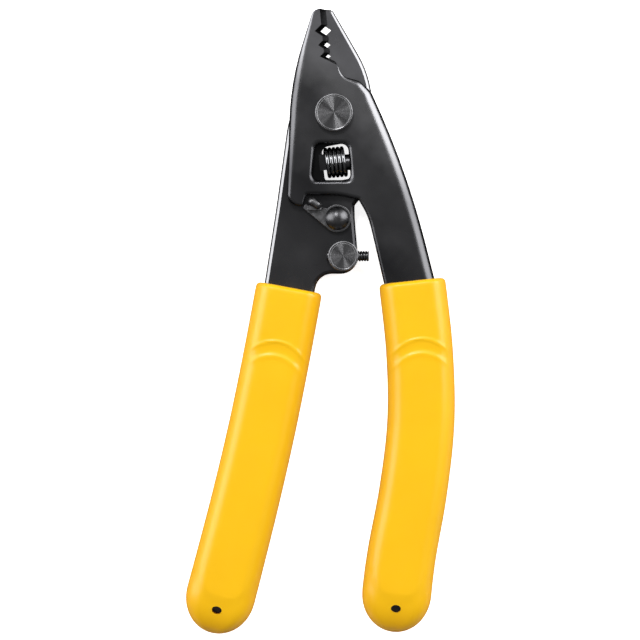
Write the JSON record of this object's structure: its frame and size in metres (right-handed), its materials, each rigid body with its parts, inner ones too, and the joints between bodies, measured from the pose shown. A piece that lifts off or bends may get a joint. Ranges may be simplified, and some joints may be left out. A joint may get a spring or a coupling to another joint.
{
  "type": "fibre stripper",
  "caption": "Plier-like fibre optic stripper: two bypass jaws with V notches that form three stripping holes, coil spring, swing latch, stop screw and moulded grips.",
  "frame": {"origin": "on the pivot's axis, in the flat rear face of the pivot rivet that the stripper rests on", "axes": "+X to the right seen from the front, +Y towards the jaws, +Z out of the front face"},
  "size_m": [0.0727, 0.1685, 0.012],
  "materials": {
    "blackened_steel": "blackened, satin",
    "turned_steel": "blackened, turned end face",
    "washer_steel": "bright, plain",
    "spring_wire": "dark spring wire, glossy",
    "latch_steel": "blackened, satin",
    "polished_steel": "blackened, polished dome",
    "screw_steel": "black oxide",
    "yellow_grip": "smooth, glossy moulded vinyl"
  },
  "bodies": {
    "rear": {"rear_lever": "blackened_steel", "left_grip": "yellow_grip", "stop_barrel": "turned_steel", "latch_rivet": "polished_steel", "latch_washer": "washer_steel", "opening_spring": "spring_wire"},
    "pivot": {"pivot_rivet": "turned_steel", "pivot_washer": "washer_steel"},
    "front": {"front_lever": "blackened_steel", "right_grip": "yellow_grip"},
    "latch": {"lock_latch": "latch_steel"},
    "screw": {"stop_screw": "screw_steel"}
  },
  "joints": [
    {"name": "lever_open", "type": "hinge", "parent": "rear", "child": "pivot", "pos_m": [0, 0, 0], "axis": [0, 0, 1], "range_deg": [0, 11], "deforming": ["opening_spring"]},
    {"name": "squeeze", "type": "hinge", "parent": "pivot", "child": "front", "pos_m": [0, 0, 0], "axis": [0, 0, 1], "range_deg": [-2.2, 0], "stiffness_Nm_per_rad": 2, "springref_deg": 2.86},
    {"name": "latch_swing", "type": "hinge", "parent": "rear", "child": "latch", "pos_m": [0.0009, -0.0284, 0], "axis": [0, 0, 1], "range_deg": [0, 60.5]},
    {"name": "stop_screw_adjust", "type": "slide", "parent": "rear", "child": "screw", "axis": [1, 0, 0], "range_m": [-0.0006, 0.0006]}
  ],
  "couplings": [
    {"joint": "latch_swing", "follows": "lever_open", "ratio": 5.5}
  ]
}
